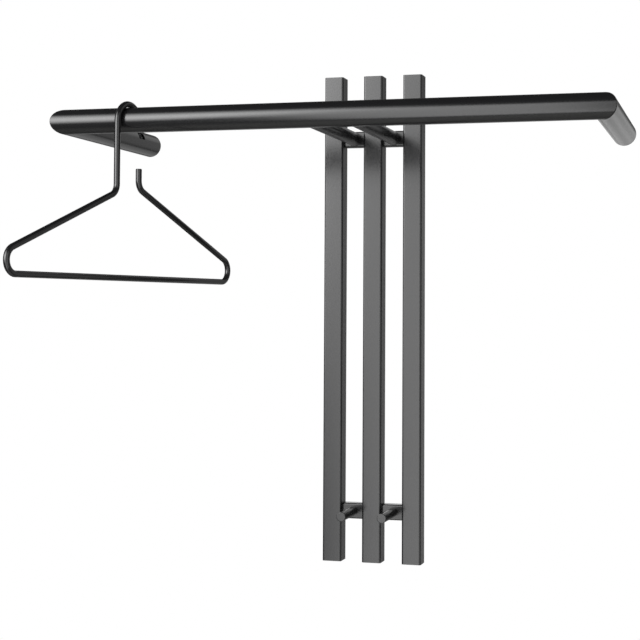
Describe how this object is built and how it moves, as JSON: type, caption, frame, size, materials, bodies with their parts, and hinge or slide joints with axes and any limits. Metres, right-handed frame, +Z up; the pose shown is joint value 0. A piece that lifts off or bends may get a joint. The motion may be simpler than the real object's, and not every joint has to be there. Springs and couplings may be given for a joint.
{
  "type": "wall coat rack",
  "caption": "Black steel wall coat rack: square uprights, a round rail on arms with returns to the wall, coat pegs and a sliding wire hanger.",
  "frame": {"origin": "middle of the middle upright's back face, on the wall plane, half-way up the uprights", "axes": "+X along the rail to the right as seen from the room, +Y into the wall, +Z up"},
  "size_m": [0.67, 0.4872, 0.63],
  "materials": {
    "powder_coat": "satin black powder coat on steel",
    "zinc_plate": "bright zinc-plated steel",
    "black_oxide": "oiled black-oxide steel"
  },
  "bodies": {
    "rack": {"upright_left": "powder_coat", "upright_left_top_plate": "powder_coat", "upright_left_bottom_plate": "powder_coat", "upright_middle": "powder_coat", "upright_middle_top_plate": "powder_coat", "upright_middle_bottom_plate": "powder_coat", "upright_right": "powder_coat", "upright_right_top_plate": "powder_coat", "upright_right_bottom_plate": "powder_coat", "upper_cross_bar_left": "powder_coat", "upper_cross_bar_right": "powder_coat", "lower_cross_bar_left": "powder_coat", "lower_cross_bar_right": "powder_coat", "support_arm_left": "powder_coat", "support_arm_left_plug": "zinc_plate", "support_arm_right": "powder_coat", "support_arm_right_plug": "zinc_plate", "arm_bolt_left": "zinc_plate", "arm_bolt_right": "zinc_plate", "coat_peg_left": "powder_coat", "coat_peg_right": "powder_coat", "peg_bolt_left": "zinc_plate", "peg_bolt_right": "zinc_plate", "rail_tube": "powder_coat", "rail_return_left": "powder_coat", "rail_return_right": "powder_coat", "wall_spigot_left": "black_oxide", "wall_spigot_right": "black_oxide", "clamp_screw_left": "black_oxide", "clamp_screw_right": "black_oxide"},
    "hanger": {"coat_hanger": "powder_coat"}
  },
  "joints": [
    {"name": "hanger_slide", "type": "slide", "parent": "rack", "child": "hanger", "axis": [1, 0, 0], "range_m": [-0.066, 0.194]}
  ]
}
